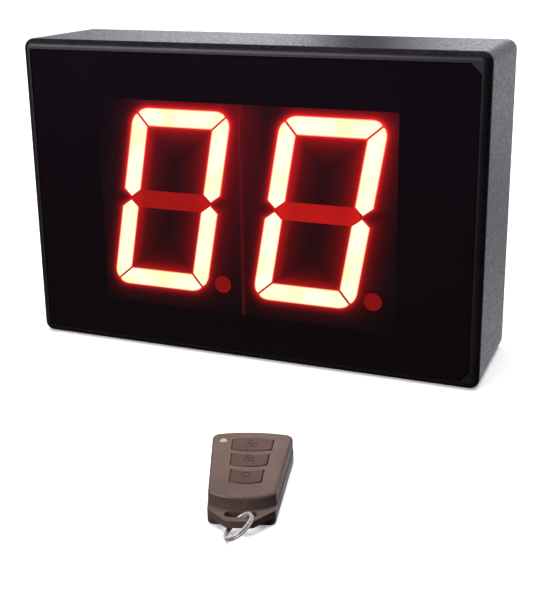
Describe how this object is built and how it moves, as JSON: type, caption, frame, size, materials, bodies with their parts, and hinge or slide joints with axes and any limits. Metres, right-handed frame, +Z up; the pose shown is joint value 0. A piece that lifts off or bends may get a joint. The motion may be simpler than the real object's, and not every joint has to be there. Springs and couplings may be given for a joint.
{
  "type": "gym round timer with remote",
  "caption": "Wall or table gym round timer: deep black case, smoked window over slanted seven-segment digits, and a key-fob remote with sprung keys and a key ring.",
  "frame": {"origin": "centre of the case's bottom face, between its left and right sides and its front rim and back face", "axes": "+Z up the case, -Y out of the window towards the viewer, +Y out of the rear cover, +X to the viewer's right"},
  "size_m": [0.2715, 0.2511, 0.178],
  "materials": {
    "case_plastic": "fine spark-textured black ABS",
    "acrylic": "polished smoked acrylic",
    "tape": "black foam tape",
    "steel": "plain zinc-plated steel",
    "black_steel": "blackened steel screw",
    "brass": "turned brass",
    "green_board": "solder-masked glass-epoxy board",
    "module_black": "black module housing",
    "lit": "lit red segment, overexposed to near white",
    "idle": "unlit red diffuser",
    "chip": "light-emitting chip",
    "package": "moulded package",
    "can": "drawn metal can",
    "sleeve": "printed capacitor sleeve",
    "fins": "extruded aluminium",
    "white_plastic": "natural nylon",
    "wire_jacket": "insulated hook-up wire",
    "antenna_jacket": "insulated wire",
    "sounder": "black sounder case",
    "inlet_plastic": "black nylon",
    "fob_plastic": "worn dark grey-brown ABS",
    "key_plastic": "dark keys, dished and marked",
    "lens": "clear domed lamp lens",
    "cell": "coin cell can",
    "spring_metal": "plated bronze strip",
    "ring_steel": "nickel-plated wire"
  },
  "bodies": {
    "timer": {"case_shell": "case_plastic", "window_panel": "acrylic", "window_tape": "tape", "rear_cover": "case_plastic", "cover_screws": "black_steel", "pillar_screws": "black_steel", "board_pillars": "brass", "main_board": "green_board", "board_screws": "steel", "microcontroller": "package", "segment_drivers": "package", "crystal": "can", "capacitors": "sleeve", "regulator": "package", "heat_sink": "fins", "radio_receiver": "green_board", "lead_headers": "white_plastic", "antenna": "antenna_jacket", "power_leads": "wire_jacket", "buzzer_leads": "wire_jacket", "buzzer": "sounder", "power_inlet": "inlet_plastic", "inlet_nut": "steel", "left_digit_housing": "module_black", "left_lit_segments": "lit", "left_idle_segments": "idle", "left_module_board": "green_board", "left_module_pins": "steel", "left_light_chips": "chip", "right_digit_housing": "module_black", "right_lit_segments": "lit", "right_idle_segments": "idle", "right_module_board": "green_board", "right_module_pins": "steel", "right_light_chips": "chip"},
    "remote": {"remote_lower_shell": "fob_plastic", "remote_upper_shell": "fob_plastic", "remote_board": "green_board", "remote_switches": "package", "remote_encoder": "package", "remote_resonator": "can", "remote_lamp": "lens", "remote_cell": "cell", "cell_clip": "spring_metal", "remote_screws": "steel"},
    "upper_key": {"upper_key": "key_plastic", "upper_plunger": "package"},
    "middle_key": {"middle_key": "key_plastic", "middle_plunger": "package"},
    "lower_key": {"lower_key": "key_plastic", "lower_plunger": "package"},
    "key_ring": {"key_ring": "ring_steel"}
  },
  "joints": [
    {"name": "remote_lift", "type": "slide", "parent": "timer", "child": "remote", "axis": [0, 0, 1], "range_m": [0, 0.2]},
    {"name": "upper_key_press", "type": "slide", "parent": "remote", "child": "upper_key", "axis": [0, 0, -1], "range_m": [0, 0.0006], "stiffness_N_per_m": 400},
    {"name": "middle_key_press", "type": "slide", "parent": "remote", "child": "middle_key", "axis": [0, 0, -1], "range_m": [0, 0.0006], "stiffness_N_per_m": 400},
    {"name": "lower_key_press", "type": "slide", "parent": "remote", "child": "lower_key", "axis": [0, 0, -1], "range_m": [0, 0.0006], "stiffness_N_per_m": 400},
    {"name": "key_ring_swing", "type": "hinge", "parent": "remote", "child": "key_ring", "pos_m": [0.07275, -0.20575, 0.00495], "axis": [-0.9511, -0.309, 0], "range_deg": [0, 90]}
  ]
}
